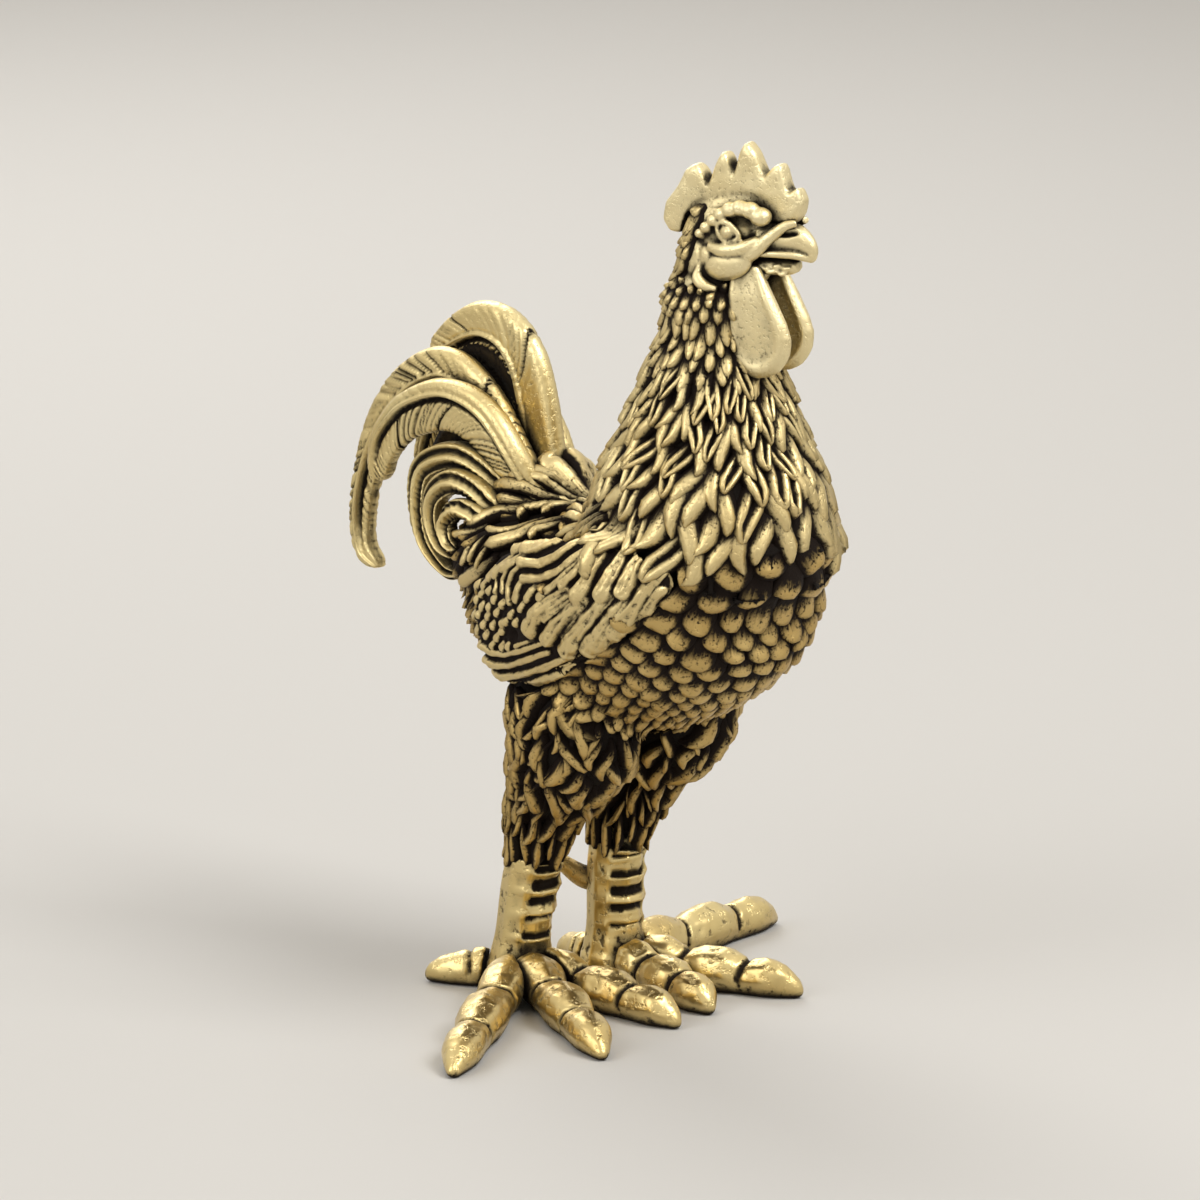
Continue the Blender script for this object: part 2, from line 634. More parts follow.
def coat(name, roots, shapes, relief, turn, unevenness, seed, skin=None):
    """A coat of feathers. Roots are (place, facing, flow, reach, girth, swell) rows."""
    places, facings, flows, reaches, girths, swells = zip(*roots)
    made = mesh_object(name + "_roots", places, [], {
        "lift": facings, "flow": flows, "reach": reaches, "girth": girths, "swell": swells})
    growth = made.modifiers.new("coat", "NODES")
    growth.node_group = COAT
    given = {"Shapes": shapes, "Skin": skin or ground, "Relief": relief, "Turn": turn,
             "Unevenness": unevenness, "Seed": seed, "Finish": FEATHER_BRASS}
    for socket in COAT.interface.items_tree:
        if socket.in_out == "INPUT" and socket.name in given:
            growth[socket.identifier] = given[socket.name]
    return settled(made, name)


def root(place, normal, flow, reach, girth, swell=1.0):
    """One root, with its flow laid flat on the skin."""
    flat = Vector(flow) - normal * normal.dot(Vector(flow))
    return (tuple(place), tuple(normal), tuple(flat.normalized()), reach, girth, swell)


def exposed(place, depth=0.45):
    """Whether a point of one casting's skin is on the outside of them all."""
    return place is not None and GROUND_TREE.find_nearest(place)[3] < depth


# Neck: rows of pointed feathers, set out as the solid's are, that grow from small scales under the
# cheek to a long forked cape. Each row lies in the gaps of the one above and is a little deeper.
NECK_TOP = 43.94
HACKLE_COUNT = 22
CAPE_COUNT = 28
HACKLE_FIRST_ROW = 0.72
HACKLE_ROW_GROWTH = 0.067
FEATHER_ROOT = 0.68
FEATHER_TIP = 1.27


def hackle_drop(row):
    """How far a row's feathers are set below the top of the neck."""
    return HACKLE_FIRST_ROW / HACKLE_ROW_GROWTH * ((1 + HACKLE_ROW_GROWTH) ** row - 1)


def neck_edge(turn):
    """The lowest height at which the cape lies in the open, at one turn round the neck."""
    heading = (math.sin(turn), math.cos(turn), 0)
    edge = NECK_TOP
    for height in np.arange(NECK_TOP - 4, NECK_LOW.z, -0.25):
        place, _ = landed((NECK_X + NECK_LEAN, 0, height), heading, NECK_TREE)
        if not exposed(place):
            break
        edge = height
    return edge


def neck_roots():
    small = []
    large = {1: [], -1: []}
    edges = [neck_edge(2 * math.pi * k / 44) for k in range(44)]
    for row in range(-1, 15):
        drop = hackle_drop(row)
        reach = hackle_drop(row + FEATHER_TIP) - hackle_drop(row - FEATHER_ROOT)
        down = drop / hackle_drop(15)
        count = CAPE_COUNT if row > 5 else HACKLE_COUNT
        for k in range(count):
            turned = 1 if (k + row // 2) % 2 == 0 else -1
            across = k + 0.5 - 0.5 * (row % 2) - 0.16 * turned * (row > 5)
            turn = 2 * math.pi * across / count
            heading = (math.sin(turn), math.cos(turn), 0)
            wobble = (0.3 + 0.15 * (row > 5)) * reach * noise.noise((k * 1.7, row * 2.3, 0.5))
            height = NECK_TOP - drop + wobble
            edge = edges[round(44 * across / count) % 44]
            lowest = edge + 0.36 * reach
            if height < lowest - 0.3 * reach:
                continue
            height = max(height, lowest)
            place, normal = landed((NECK_X + NECK_LEAN, 0, height), heading, NECK_TREE)
            if not exposed(place):
                continue
            radius = math.hypot(place.x - NECK_X - NECK_LEAN, place.y)
            back = down * min(1.0, abs(heading[1]) + 0.6 * (heading[0] < 0))
            entry = root(place, normal, (-0.6 * back, 0, -1), max(1.5, reach * (1.3 if row > 5 else 1.4)),
                         2 * math.pi * radius / count * (1.34 if row > 5 else 1.4), 0.62 + 0.38 * down)
            if row > 5:
                large[turned].append(entry)
            else:
                small.append(entry)
    for climb, reach, turned in ((0.9, 1.5, 0.0), (0.35, 1.5, 0.5)):
        for k in range(24):
            turn = 2 * math.pi * (k + turned) / 24
            heading = (math.sin(turn), math.cos(turn), climb)
            place, normal = landed((NECK_X + NECK_LEAN, 0, 42.6), heading, NECK_TREE)
            small.append(root(place, normal, (heading[0], heading[1], -1.6), reach, 0.95, 0.7))
    return small, large


NECK_TREE = tree_of("neck_hackle")
neck_small, neck_large = neck_roots()
hackle_upper = coat("hackle_upper", neck_small, LEAVES, 0.85, 0.2, 0.14, 11)
hackle_cape = joined([coat(f"cape_{seed}", neck_large[turned], PETALS[turned], 1.0, 0.16, 0.14, seed)
                      for turned, seed in ((1, 12), (-1, 13))], "hackle_cape")


# Torso: rows of broad round-ended scales that run down the breast and back along the belly.
BREAST_CENTRE = Vector((8.5, 0, 25))


SCALE_COUNT = 30
SCALE_ROW = math.radians(7.5)
RUMP_END = -0.5


def torso_roots():
    roots = []
    for row in range(-6, 12):
        fall = SCALE_ROW * row
        for k in range(SCALE_COUNT):
            turn = 2 * math.pi * (k + 0.5 * (row % 2)) / SCALE_COUNT
            heading = Vector((math.cos(turn) * math.cos(fall), math.sin(turn) * math.cos(fall),
                              -math.sin(fall)))
            place, normal = landed(BREAST_CENTRE, heading, TORSO_TREE)
            if not exposed(place, 1.0 if row < 0 else 0.45):
                continue
            if min(wing.find_nearest(place + Vector((-0.4, 0, -0.9)))[3] for wing in WING_TREES) < 0.5:
                continue
            if place.x < RUMP_END and place.z > 17.5:
                continue
            away = place - BREAST_CENTRE
            girth = 2 * math.pi * math.hypot(away.x, away.y) / SCALE_COUNT * 1.08
            reach = 2.1 * SCALE_ROW * away.length
            wobble = noise.noise(place * 0.9)
            roots.append(root(place, normal, (-0.7, 0, -0.9 + 0.4 * wobble), min(reach, 3.0),
                              min(girth, 2.3), 0.95 + 0.3 * wobble))
    return roots


TORSO_TREE = tree_of("torso")
WING_TREES = [tree_of("wing_right"), tree_of("wing_left")]
breast_scales = coat("breast_scales", torso_roots(), SCALES, 0.65, 0.16, 0.12, 21)


# Saddle: long strands that stream back from the neck over the gathered quills of the tail and hook down at
# their tips. Each is given as (ahead, out, up) from its tip to its root, with its breadth.
STRANDS = (
    (((-2.3, 2.6, 31.2), (-1.2, 2.2, 31.2), (0.0, 1.5, 30.8), (0.9, 0.8, 30.0), (1.5, 0.5, 29.5)), 0.6),
    (((-2.3, 2.9, 30.7), (-1.3, 2.7, 31.0), (-0.3, 2.0, 30.6), (0.4, 1.4, 30.0), (1.4, 1.0, 29.5), (2.2, 0.5, 29.2)), 0.55),
    (((-4.2, 3.0, 28.9), (-3.8, 3.0, 29.5), (-3.0, 3.0, 29.9), (-2.0, 2.9, 30.1), (-0.8, 2.6, 30.0), (0.2, 2.1, 29.6),
      (1.2, 1.2, 29.3)), 0.66),
    (((-4.4, 3.4, 28.2), (-3.4, 3.3, 28.7), (-2.1, 3.1, 29.2), (-1.1, 2.8, 29.2), (0.2, 2.3, 29.1)), 0.62),
    (((-3.6, 4.3, 27.4), (-2.7, 4.0, 28.0), (-2.1, 3.4, 28.4), (-1.1, 2.9, 28.7), (0.2, 2.5, 28.9)), 0.78),
    (((-0.1, 3.7, 28.3), (-0.4, 2.9, 28.7), (0.2, 2.4, 29.0), (1.2, 2.0, 29.1), (2.4, 1.2, 29.2)), 0.46),
    (((1.2, 3.0, 28.6), (1.0, 2.2, 28.9), (1.7, 1.8, 29.1), (2.8, 1.4, 29.1)), 0.42),
    (((-1.5, 4.8, 27.6), (-0.4, 4.9, 27.7), (0.5, 4.6, 27.9), (1.0, 3.9, 28.2), (1.7, 3.3, 28.6)), 0.4),
    (((-0.9, 5.4, 26.9), (0.2, 5.1, 27.4), (1.0, 4.7, 27.7), (1.4, 4.1, 28.1), (2.0, 3.5, 28.4), (2.9, 2.8, 28.8)), 0.66),
    (((2.1, 4.7, 27.6), (1.9, 4.2, 28.0), (2.3, 3.8, 28.2), (3.1, 3.2, 28.6)), 0.46),
    (((-3.4, 5.0, 24.4), (-2.0, 5.4, 25.2), (-0.9, 5.7, 25.8), (0.1, 5.7, 26.4)), 0.66),
    (((-1.9, 5.6, 25.9), (-1.6, 5.5, 26.7), (-1.3, 5.0, 27.4)), 0.3),
    (((-1.3, 5.6, 25.7), (-0.9, 5.6, 26.5), (-0.6, 5.3, 27.1)), 0.3),
    (((-2.9, 5.2, 25.5), (-2.6, 5.0, 26.4), (-2.1, 4.6, 27.2)), 0.4),
    (((-4.6, 4.4, 26.6), (-3.8, 4.5, 26.9), (-2.9, 4.4, 27.2), (-2.0, 4.3, 27.7)), 0.42),
    (((-1.2, 1.3, 31.8), (-0.4, 1.0, 31.2), (0.6, 0.7, 30.4), (1.4, 0.4, 29.7), (2.6, 0.3, 29.3)), 1.1),
    (((0.4, 1.2, 29.3), (1.4, 0.9, 29.2), (2.8, 0.7, 29.2), (3.8, 0.5, 29.6)), 0.4),
)
# The neck's own last strands, which reach down over the saddle and the top of the wing.
NAPE_STRANDS = (
    (((2.4, 2.2, 28.9), (3.4, 2.3, 29.3), (5.4, 3.2, 30.2), (7.4, 4.4, 31.2), (8.8, 5.0, 32.0)), 0.5),
    (((2.8, 2.9, 28.6), (4.2, 3.1, 29.3), (6.2, 4.0, 30.2), (8.2, 5.2, 31.2), (9.6, 5.6, 32.0)), 0.56),
    (((3.9, 4.3, 28.0), (4.9, 4.1, 28.7), (6.6, 4.7, 29.6), (8.6, 5.9, 30.7), (10.0, 6.2, 31.6)), 0.56),
    (((5.2, 4.9, 28.1), (6.6, 5.0, 29.0), (8.3, 5.9, 30.0), (10.0, 6.6, 31.0)), 0.56),
    (((7.1, 6.0, 27.8), (7.7, 5.9, 28.8), (8.8, 6.1, 29.9), (10.4, 6.8, 30.9)), 0.66),
    (((3.0, 1.2, 29.3), (4.4, 1.4, 30.0), (5.8, 2.2, 31.2), (7.0, 3.0, 32.6)), 0.5),
    (((2.8, 0.2, 29.4), (4.2, 0.5, 30.2), (5.4, 0.9, 31.4), (6.4, 1.3, 32.8)), 0.5),
)


def strand(name, line, breadth, rise, side, tree, skin_lift):
    """A long strand laid over a skin, blunt and proud at its tip and drawn in at its root."""
    count = 5 * len(line)
    path = spline(np.array(line, float) * (1, side, 1), count)
    centres = []
    facings = []
    for point in path:
        place, normal, _, _ = tree.find_nearest(point)
        lifted = Vector(point) - place
        centres.append(place + normal * min(max(0.0, lifted.dot(normal)), skin_lift))
        facings.append(normal)
    centres, facings = np.array(centres), unit(np.array(facings))
    along = unit(np.gradient(centres, axis=0))
    across = unit(np.cross(facings, along))
    points = []
    rises = []
    sideways = []
    lengthways = []
    for i in range(count):
        share = i / (count - 1)
        half = breadth / 2 * min(1.0, 0.35 + 6 * share) * (1 - 0.5 * max(0.0, share - 0.5) / 0.5)
        height = rise * min(1.0, 0.6 + 4 * share) * (1 - 0.6 * share)
        for a, level in [(-1, -0.5)] + [(a, level * height) for a, level in DOME] + [(1, -0.5)]:
            points.append(centres[i] + across[i] * (a * half) + facings[i] * level)
            rises.append(max(0.0, level / rise))
            sideways.append(a + 2.3 * len(points) / 1000)
            lengthways.append(1 - share)
    return outward(mesh_object(name, points, ring_faces(count, len(DOME) + 2),
                               {"rise": rises, "across": sideways, "along": lengthways}))


def rump_roots():
    roots = []
    for row in range(17):
        height = 28.3 - 0.85 * row
        tree = SADDLE_TREE if row < 3 else GROUND_TREE
        for k in range(-11, 12):
            turn = math.pi + math.radians(10.5) * (k + 0.5 * (row % 2))
            place, normal = landed((-1.0, 0, height), (math.cos(turn), math.sin(turn), -0.03 * row), tree)
            if not exposed(place, 0.7) or place.x > RUMP_END or place.z < 16.2:
                continue
            if min(wing.find_nearest(place)[3] for wing in WING_TREES) < 0.4:
                continue
            wobble = noise.noise(place * 0.8)
            roots.append(root(place, normal, (-0.5, 0, -0.8 + 0.5 * wobble), 2.4, 0.95, 0.9 + 0.2 * wobble))
    return roots


SADDLE_TREE = tree_of("saddle")
rump_feathers = coat("rump_feathers", rump_roots(), LEAVES, 0.7, 0.2, 0.18, 25)

# The quills of the tail feathers gather in a mound, and the strands lie on it.
quills = [casting(["tail_root"], "tail_root_places", 0.2, 6),
          ball("quills", (-1.3, 0, 28.9), (2.7, 2.7, 1.75), 0, math.radians(-12)),
          ball("quills", (0.2, 0, 29.3), (1.6, 1.3, 1.3), 0, math.radians(-35))]
tail_root = remeshed(joined(quills, "tail_root_rough"), "tail_root_skin", 0.15, 16)
under = joined([tail_root.copy(), ground.copy()], "strand_ground_rough")
strand_ground = remeshed(under, "strand_ground", 0.25, 10)
STRAND_TREE = tree_in(strand_ground)
bpy.data.objects.remove(strand_ground)
set_relief(tail_root, 12, 2.0)
kept(tail_root, TAIL_BRASS, ["tail_root"])
laid = []
for side, label in SIDES:
    for line, breadth in STRANDS:
        laid.append(strand("strand", line, 1.3 * breadth, 0.66, side, STRAND_TREE, 0.5))
    for line, breadth in NAPE_STRANDS:
        laid.append(strand("strand", line, 1.3 * breadth, 0.7, side, STRAND_TREE, 0.6))
saddle_hackles = joined(laid, "saddle_hackles")


# Thighs: curving strokes down the leg, and a cuff of upright ribs over the top of the shank.
THIGH_COUNT = 14
THIGH_ROW = 1.35
THIGH_TOP = 16.8
def thigh_roots(side, label):
    strokes = []
    tree = tree_of("thigh_" + label)
    knee = side * 1.1 + SHANK_LEAN[side]
    levels = (8.9, 11.5, 14.1, 16.8, 20.2)
    for step in range(-8, 9):
        row = step / 2
        height = THIGH_TOP - THIGH_ROW * row
        centre = (float(np.interp(height, levels, (knee, knee + 0.9, 2.8, 4.3, 4.6))),
                  side * float(np.interp(height, levels, (2.7, 2.9, 3.3, 3.7, 3.8))), height)
        for k in range(THIGH_COUNT):
            turn = 2 * math.pi * (k + 0.5 - 0.5 * (math.floor(row) % 2) + 0.5 * (step % 2)) / THIGH_COUNT
            place, normal = landed(centre, (math.sin(turn), math.cos(turn), 0), tree)
            if not exposed(place, 0.8):
                continue
            girth = 2 * math.pi * math.hypot(place.x - centre[0], place.y - centre[1]) / THIGH_COUNT
            wobble = noise.noise(place * 0.45)
            between = step % 2
            strokes.append(root(place, normal, (-0.35 + 1.1 * wobble, 0, -1),
                                THIGH_ROW * (FEATHER_ROOT + FEATHER_TIP) * (0.95 if between else 1.15),
                                girth * (0.5 if between else 0.74), 0.78 if between else 1.0))
    return strokes


def cuff_roots(side, tree):
    knee = side * 1.1 + SHANK_LEAN[side]
    cuffs = []
    for k in range(15):
        turn = 2 * math.pi * k / 15
        height = 10.3 + 0.9 * noise.noise((k * 1.3, side, 0.2))
        place, normal = landed((knee + 0.3, side * 2.75, height), (math.cos(turn), math.sin(turn), 0), tree)
        cuffs.append(root(place, normal, (-0.1, 0, -1), 3.3, 0.6, 1.0))
    return cuffs


for side, label in SIDES:
    kept(coat("thigh_feathers_" + label, thigh_roots(side, label), FLAMES, 0.85, 0.3, 0.22, 31 + side),
         BREAST_BRASS)
    leg = casting(["thigh_" + label, "shank_" + label], "leg_places", 0.15, 12)
    set_vector(leg, "outward", normals_of(leg))
    kept(coat("thigh_cuff_" + label, cuff_roots(side, tree_in(leg)), RIBS, 0.34, 0.06, 0.14, 41 + side, leg),
         BREAST_BRASS)
    bpy.data.objects.remove(leg)

for made in (hackle_upper, hackle_cape, saddle_hackles):
    kept(made, FEATHER_BRASS)
for made in (breast_scales, rump_feathers):
    kept(made, BREAST_BRASS)


# Wings: the feathers stand up from the casting's own skin. Each is a line on the side of the wing from its
# tip to its root, as (ahead, height), with its breadth and how far its tip stands proud.
WING_FEATHERS = (
    # Long flight feathers that wrap the lower edge
    (((1.5, 19.6), (2.7, 19.5), (4.3, 19.9), (6.9, 21.0), (9.2, 22.2), (11.2, 23.5), (13.2, 25.0),
      (15.1, 27.5)), 0.74, 0.8),
    (((1.3, 20.3), (2.3, 20.2), (4.5, 20.8), (6.6, 21.6), (8.6, 22.6)), 0.52, 0.75),
    (((1.0, 21.0), (1.9, 20.85), (3.4, 21.1), (5.0, 21.7), (7.4, 22.7)), 0.5, 0.72),
    (((1.1, 21.75), (2.0, 21.6), (3.3, 21.75), (5.2, 22.4), (7.1, 23.2)), 0.44, 0.66),
    (((4.6, 22.55), (5.6, 22.95), (6.5, 23.3)), 0.3, 0.4),
    # Broad secondaries
    (((8.8, 23.1), (9.6, 24.0), (11.0, 25.4), (12.3, 26.9)), 1.12, 1.0),
    (((10.3, 23.4), (11.4, 24.5), (12.4, 25.6), (13.3, 26.8)), 1.1, 0.86),
    (((12.2, 24.6), (13.0, 25.6), (13.9, 26.8), (15.0, 28.4)), 1.0, 0.84),
    (((7.6, 23.6), (8.3, 24.4), (9.3, 25.3), (10.6, 26.3)), 1.15, 0.95),
    (((8.8, 23.9), (9.8, 24.9), (10.8, 25.9)), 0.5, 0.6),
    (((6.2, 23.9), (6.8, 24.8), (7.9, 25.7), (9.3, 26.6)), 1.25, 0.82),
    (((7.5, 24.7), (8.6, 25.5), (10.0, 26.5)), 0.6, 0.62),
    # Coverts on the shoulder
    (((10.1, 26.5), (10.6, 27.2), (11.0, 28.2), (11.3, 28.9)), 1.1, 0.95),
    (((11.9, 26.9), (12.2, 27.7), (12.5, 28.5), (12.6, 29.1)), 1.1, 0.95),
    (((13.1, 27.2), (13.4, 28.0), (13.6, 28.8), (14.0, 29.6)), 1.25, 1.0),
    (((14.2, 28.2), (14.5, 29.0)), 0.7, 0.7),
    (((7.1, 25.9), (8.6, 27.1), (10.2, 28.8)), 0.62, 0.7),
    (((8.9, 26.9), (9.8, 27.8), (10.8, 29.2)), 0.62, 0.72),
    (((5.6, 26.7), (7.1, 27.0), (8.4, 27.6), (9.9, 28.9)), 0.62, 0.7),
    (((5.2, 27.5), (6.7, 27.7), (8.0, 28.3), (9.3, 29.4)), 0.6, 0.72),
    (((4.9, 28.2), (6.2, 28.6), (7.4, 29.2), (8.6, 30.1)), 0.9, 0.66),
    # Small feathers that roughen the blunt rear end
    (((6.0, 25.6), (6.3, 26.1), (6.7, 26.5)), 0.56, 0.6),
    (((5.0, 25.4), (5.1, 26.0), (5.3, 26.4)), 0.56, 0.56),
    (((5.5, 24.9), (5.8, 25.4)), 0.5, 0.5),
    (((4.5, 25.1), (4.2, 26.0), (4.5, 26.8), (5.1, 27.4)), 0.42, 0.62),
    (((3.7, 25.6), (3.5, 26.2), (3.9, 26.9)), 0.42, 0.55),
    (((2.9, 25.4), (2.8, 26.1)), 0.4, 0.5),
    (((3.3, 26.8), (4.4, 27.4), (5.6, 28.2)), 0.6, 0.6),
    (((2.5, 26.3), (3.3, 27.0), (4.2, 27.6)), 0.6, 0.55),
    (((1.8, 25.9), (2.4, 26.6)), 0.6, 0.5),
    (((4.0, 28.0), (5.2, 28.6), (6.8, 29.5)), 0.8, 0.6),
    (((1.2, 25.3), (1.6, 25.8)), 0.5, 0.5),
)
WING_PEBBLES = ((1.1, 24.9), (2.1, 24.4), (2.8, 25.0), (1.9, 23.8), (3.7, 24.9), (3.1, 24.3), (4.0, 23.95),
                (5.0, 24.1), (2.5, 23.4), (3.5, 23.3), (1.6, 22.6), (2.8, 22.75), (2.2, 22.15), (3.9, 22.45),
                (0.4, 24.4), (0.2, 23.5), (0.4, 22.6), (-0.4, 24.0), (-0.4, 23.1), (0.1, 25.1), (0.6, 21.8),
                (1.2, 24.2), (1.4, 23.2), (3.3, 22.3), (4.6, 24.5), (2.0, 25.3), (0.9, 23.7), (3.6, 23.8))
WING_PIT = (4.35, 23.15)
PIT_RADIUS = 0.42


def nearest_on(line, places):
    """How far each (ahead, height) place lies from a line, and the share of the line it lies at."""
    line = np.asarray(line, float)
    away = np.full(len(places), np.inf)
    share = np.zeros(len(places))
    for k in range(len(line) - 1):
        run = line[k + 1] - line[k]
        part = np.clip((places - line[k]) @ run / (run @ run), 0, 1)
        gap = np.linalg.norm(places - line[k] - part[:, None] * run, axis=1)
        closer = gap < away
        away[closer] = gap[closer]
        share[closer] = (k + part[closer]) / (len(line) - 1)
    return away, share


def embossed(skin, side, middle):
    """Raises the wing's feathers out of its skin, and stores where across and along a feather each point is."""
    places, facings = points_of(skin), normals_of(skin)
    flat = places[:, [0, 2]]
    worn = np.array([noise.fractal((x * 1.1, z * 1.1, 3.1), 1.0, 2.0, 3) for x, z in flat])
    height = np.zeros(len(places))
    across = np.zeros(len(places))
    along = flat[:, 0].copy()
    lines = [(line, breadth, rise) for line, breadth, rise in WING_FEATHERS]
    lines += [(((x - 0.1, z - 0.14), (x + 0.12, z + 0.14)), 0.56, 0.5) for x, z in WING_PEBBLES]
    for number, (line, breadth, rise) in enumerate(lines):
        away, share = nearest_on(line, flat)
        run = share * sum(math.dist(a, b) for a, b in zip(line, line[1:]))
        ragged = np.sin(3.1 * run + 2.1 * number) + 0.6 * np.sin(7.7 * run + 4.3 * number)
        reach = away / (0.5 * breadth + 0.01) / (1 - 0.2 * share) / (1 + 0.06 * ragged)
        dome = np.clip(1 - reach ** 3.8, 0, 1) ** 0.7
        streaks = np.sin(16 * away + 1.6 * run + number)
        level = rise * (1 - 0.45 * share + 0.2 * worn + 0.08 * streaks) * dome
        higher = level > height
        height[higher] = level[higher]
        across[higher] = reach[higher] + 1.7 * number
        along[higher] = 2.2 * share[higher]
    pit = np.linalg.norm(flat - np.array(WING_PIT), axis=1)
    height = height * smoothstep(PIT_RADIUS * 0.8, PIT_RADIUS * 1.3, pit) - 0.6 * bell(pit, 0, PIT_RADIUS * 0.8)
    outside = smoothstep(-0.1, 0.35, facings[:, 1] * side) * smoothstep(middle - 0.2, middle + 0.5, places[:, 1] * side)
    move_points(skin, places + facings * (0.62 * height * outside)[:, None])
    set_value(skin, "across", across)
    set_value(skin, "along", along)
    rear = 1 - smoothstep(-0.6, 0.4, places[:, 0])
    return 1 - (0.85 - 0.4 * rear) * outside * (1 - smoothstep(0.04, 0.34, height))


for side, label in SIDES:
    node = "wing_" + label
    wing = sunk(casting([node], node + "_skin", 0.1, 16), 0.28)
    low, high = node_box(node)
    covered = embossed(wing, side, min(abs(low.y), abs(high.y)) + 0.6)
    set_relief(wing, 14, 3.8, 0.87 * covered)
    kept(wing, FEATHER_BRASS, [node])


HIPS = {"thigh_right": (3.0, -4.6, 19.2), "thigh_left": (3.0, 4.6, 19.2)}
for node in FEATHERED:
    if not node.startswith("wing"):
        skin = sunk(casting([node], node + "_skin", 0.3, 14), SINK)
        if node in HIPS:
            skin = remeshed(joined([skin, ball("hip", HIPS[node], (1.9, 1.7, 1.5))], node + "_hip"), node + "_skin", 0.25, 4)
        kept(skin, GROUND_BRASS, [node])

bpy.data.objects.remove(ground)


# Tail feathers: upright blades that curve back from the tail root. Points are (behind, above) the
# root, and the blade's half breadths run from the root to the tip.
BLADE_TAPER = (0.62, 0.8, 0.97, 1, 0.96, 0.86, 0.7, 0.42)


def blade(name, points, side, start, lean, breadth, thickness, rib, combing, splits, strands=0.0, draw=0.0):
    """One tail feather: a midrib between two vanes of combed barbs, with deep splits in them.

    The rib's place across the blade runs from -1 on the hollow side to 1. Combing is the pitch of the
    barbs and how deep they are cut on the hollow side and on the outer side. Splits are (share of the
    length, which vane). With strands the blade is a bundle of long cords instead, and draw narrows its end.
    """
    barb_pitch, hollow_cut, outer_cut = combing
    rings, ways = 180, 25
    control = np.array(points, float)
    line = spline(np.column_stack([TAIL_X - control[:, 0], TAIL_Z + control[:, 1]]), rings)
    share = np.linspace(0, 1, rings)[:, None]
    length = np.linalg.norm(np.diff(line, axis=0), axis=1).sum()
    along = unit(np.gradient(line, axis=0))
    proud = np.column_stack([along[:, 1], -along[:, 0]])
    tip = np.sqrt(np.clip(1 - np.clip((share - 0.95) / 0.05, 0, 1) ** 2, 0.01, 1))
    halves = breadth * np.interp(share, np.linspace(0, 1, 8), BLADE_TAPER) * tip
    halves = halves * (1 - draw * smoothstep(0.5, 0.8, share))
    t = np.r_[np.linspace(-1, 1, ways), np.linspace(1, -1, ways)[1:-1]][None, :]
    flank = np.r_[np.ones(ways), -np.ones(ways - 2)][None, :]
    away = (t - rib) * halves
    reach = np.abs(away)
    combed = share * length - 1.05 * reach
    lane = combed / barb_pitch + 0.35 * (away > 0) + 0.35 * np.sin(1.9 * combed) + 0.2 * np.sin(4.3 * combed)
    number = np.floor(lane)
    chance = 0.5 + 0.5 * np.sin(number * 12.99 + side)
    gap = bell(lane - number, 0.5, 0.16) * smoothstep(0.06, 0.22, reach)
    split = np.zeros_like(away)
    for place, vane in splits:
        cleft = bell(combed, place * length, 0.03 + 0.045 * reach) * (away * vane > 0.06)
        split = np.maximum(split, cleft * smoothstep(0.1, 0.7, reach))
    shown = smoothstep(0.97, 0.82, share)
    if strands:
        cords = 0.5 + 0.5 * np.cos(2 * math.pi * (strands * t + 0.16 * np.sin(4.2 * share + breadth)))
        height = 0.34 + 0.6 * cords ** 0.7 - 0.16 * gap * chance
    else:
        height = 0.62 + 0.18 * smoothstep(-0.05, 0.05, away) + 0.3 * shown * bell(away, 0, 0.1)
        height = height - 0.4 * shown * bell(away, -0.27, 0.13) - 0.1 * shown * bell(away, 0.22, 0.08)
        height = height - gap * np.where(away < 0, hollow_cut, outer_cut) * (0.25 + 0.75 * chance)
    height = np.clip(height - 0.45 * split, 0.08, 1.1)
    edge = np.sqrt(np.clip(1 - t ** 6, 0, 1))
    width = halves * t * (1 - 0.05 * split - 0.05 * gap * (t < 0) * (away < 0))
    out = side * (start * (0.7 + 0.3 * smoothstep(0, 0.25, share)) + lean * np.sin(share * math.pi / 2))
    depth = flank * thickness / 2 * edge * height * np.sqrt(tip)
    vertices = np.stack([line[:, :1] + proud[:, :1] * width, out + depth,
                         line[:, 1:] + proud[:, 1:] * width], axis=-1)
    around = t.shape[1]
    made = mesh_object(name, vertices.reshape(-1, 3), ring_faces(rings, around), {
        "rise": np.clip(1.45 * height - 0.25 * (1 - edge), 0, 1).ravel(),
        "across": np.broadcast_to(1.2 * t, height.shape).ravel(),
        "along": np.broadcast_to(combed * 0.5, height.shape).ravel()})
    return outward(made)


